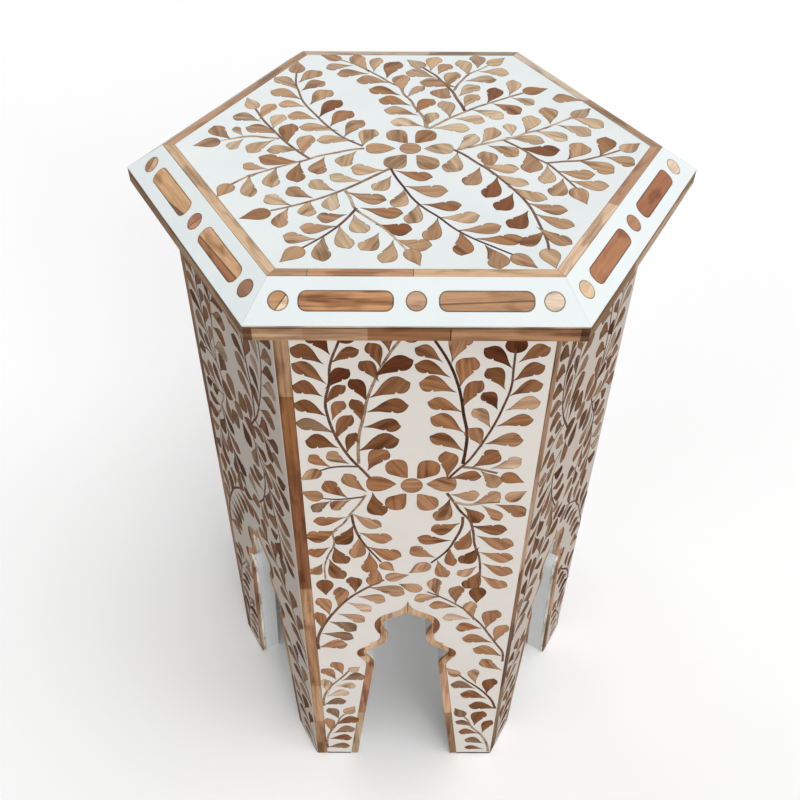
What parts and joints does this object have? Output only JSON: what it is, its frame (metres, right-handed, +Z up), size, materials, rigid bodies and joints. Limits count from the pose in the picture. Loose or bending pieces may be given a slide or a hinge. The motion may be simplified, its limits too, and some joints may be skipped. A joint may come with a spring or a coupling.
{
  "type": "hexagonal inlaid stool",
  "caption": "Hexagonal stool with a flat bevelled top on upright boards cut in lobed arches, faced in pale cast resin with flowering wood inlay and wooden strips along the edges.",
  "frame": {"origin": "on the floor under the middle of the stool", "axes": "+Z up along the middle of the stool; -Y towards the front board; +X to the right, towards a corner"},
  "size_m": [0.3718, 0.322, 0.555],
  "materials": {
    "core_board": "painted board, matt",
    "resin_top": "cast resin, polished",
    "resin_side": "cast resin on board, satin",
    "wood_honey": "lacquered",
    "wood_brown": "lacquered",
    "wood_reddish": "lacquered",
    "wood_light": "lacquered"
  },
  "bodies": {
    "root": {"top_board": "core_board", "top_edge_band": "wood_honey", "top_field_face": "resin_top", "top_rim_face": "resin_top", "top_batten_frame": "core_board", "side_board_front": "resin_side", "corner_strip_front": "wood_honey", "arch_border_front": "wood_brown", "frame_strip_front": "wood_reddish", "rim_dot_left_front": "wood_honey", "rim_bar_left_front": "wood_brown", "rim_dot_middle_front": "wood_reddish", "rim_bar_right_front": "wood_light", "rim_dot_right_front": "wood_honey", "side_board_front_right": "resin_side", "corner_strip_front_right": "wood_brown", "arch_border_front_right": "wood_reddish", "frame_strip_front_right": "wood_light", "rim_dot_left_front_right": "wood_brown", "rim_bar_left_front_right": "wood_reddish", "rim_dot_middle_front_right": "wood_light", "rim_bar_right_front_right": "wood_honey", "rim_dot_right_front_right": "wood_brown", "side_board_back_right": "resin_side", "corner_strip_back_right": "wood_reddish", "arch_border_back_right": "wood_light", "frame_strip_back_right": "wood_honey", "rim_dot_left_back_right": "wood_reddish", "rim_bar_left_back_right": "wood_light", "rim_dot_middle_back_right": "wood_honey", "rim_bar_right_back_right": "wood_brown", "rim_dot_right_back_right": "wood_reddish", "side_board_back": "resin_side", "corner_strip_back": "wood_light", "arch_border_back": "wood_honey", "frame_strip_back": "wood_brown", "rim_dot_left_back": "wood_light", "rim_bar_left_back": "wood_honey", "rim_dot_middle_back": "wood_brown", "rim_bar_right_back": "wood_reddish", "rim_dot_right_back": "wood_light", "side_board_back_left": "resin_side", "corner_strip_back_left": "wood_honey", "arch_border_back_left": "wood_brown", "frame_strip_back_left": "wood_reddish", "rim_dot_left_back_left": "wood_honey", "rim_bar_left_back_left": "wood_brown", "rim_dot_middle_back_left": "wood_reddish", "rim_bar_right_back_left": "wood_light", "rim_dot_right_back_left": "wood_honey", "side_board_front_left": "resin_side", "corner_strip_front_left": "wood_brown", "arch_border_front_left": "wood_reddish", "frame_strip_front_left": "wood_light", "rim_dot_left_front_left": "wood_brown", "rim_bar_left_front_left": "wood_reddish", "rim_dot_middle_front_left": "wood_light", "rim_bar_right_front_left": "wood_honey", "rim_dot_right_front_left": "wood_brown"}
  },
  "joints": []
}
